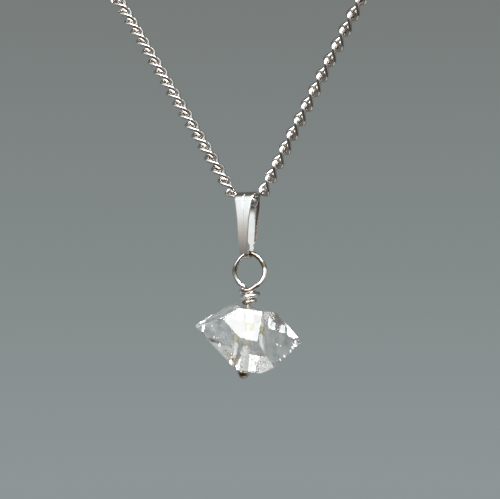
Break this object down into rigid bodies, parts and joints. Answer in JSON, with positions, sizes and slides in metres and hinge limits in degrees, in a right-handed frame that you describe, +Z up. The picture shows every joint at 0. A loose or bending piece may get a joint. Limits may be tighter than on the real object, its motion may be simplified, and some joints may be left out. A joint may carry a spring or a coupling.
{
  "type": "drilled quartz crystal pendant",
  "caption": "Double-ended clear quartz crystal, drilled through and hung from a ball-head wire pin with a wrapped eye, under a folded strip bail in the V of a fine chain.",
  "frame": {"origin": "the hold, plumb above the bail and about level with the middle of the two end rings", "axes": "+Z up, +X along the chain's V towards its right strand, -Y towards the viewer's side of the V"},
  "size_m": [0.0359, 0.0097, 0.0424],
  "materials": {
    "quartz": "clear crystal, glossy faces",
    "chain_silver": "polished silver wire",
    "bail_silver": "polished silver strip",
    "pin_silver": "polished silver wire, slightly warm"
  },
  "bodies": {
    "chain": {"bail_link_1": "chain_silver", "bail_link_2": "chain_silver", "bail_link_3": "chain_silver", "end_ring_left": "chain_silver", "end_ring_right": "chain_silver", "left_link_01": "chain_silver", "left_link_02": "chain_silver", "left_link_03": "chain_silver", "left_link_04": "chain_silver", "left_link_05": "chain_silver", "left_link_06": "chain_silver", "left_link_07": "chain_silver", "left_link_08": "chain_silver", "left_link_09": "chain_silver", "left_link_10": "chain_silver", "left_link_11": "chain_silver", "left_link_12": "chain_silver", "left_link_13": "chain_silver", "left_link_14": "chain_silver", "left_link_15": "chain_silver", "left_link_16": "chain_silver", "left_link_17": "chain_silver", "left_link_18": "chain_silver", "right_link_01": "chain_silver", "right_link_02": "chain_silver", "right_link_03": "chain_silver", "right_link_04": "chain_silver", "right_link_05": "chain_silver", "right_link_06": "chain_silver", "right_link_07": "chain_silver", "right_link_08": "chain_silver", "right_link_09": "chain_silver", "right_link_10": "chain_silver", "right_link_11": "chain_silver", "right_link_12": "chain_silver", "right_link_13": "chain_silver", "right_link_14": "chain_silver", "right_link_15": "chain_silver"},
    "bail": {"bail": "bail_silver"},
    "pin": {"pin": "pin_silver"},
    "crystal": {"crystal": "quartz"}
  },
  "joints": [
    {"name": "fold_hinge", "type": "hinge", "parent": "chain", "child": "bail", "pos_m": [0.00008, 0, -0.0219], "axis": [0.9945, 0.1045, 0], "range_deg": [-15, 15]},
    {"name": "eye_hinge", "type": "hinge", "parent": "bail", "child": "pin", "pos_m": [0.00004, 0.00033, -0.02717], "axis": [0.9613, 0.2756, 0], "range_deg": [-60, 60]},
    {"name": "stone_spin", "type": "hinge", "parent": "pin", "child": "crystal", "pos_m": [0.00006, 0.00032, -0.0315], "axis": [0.0756, 0.0305, 0.9967], "continuous": true}
  ]
}
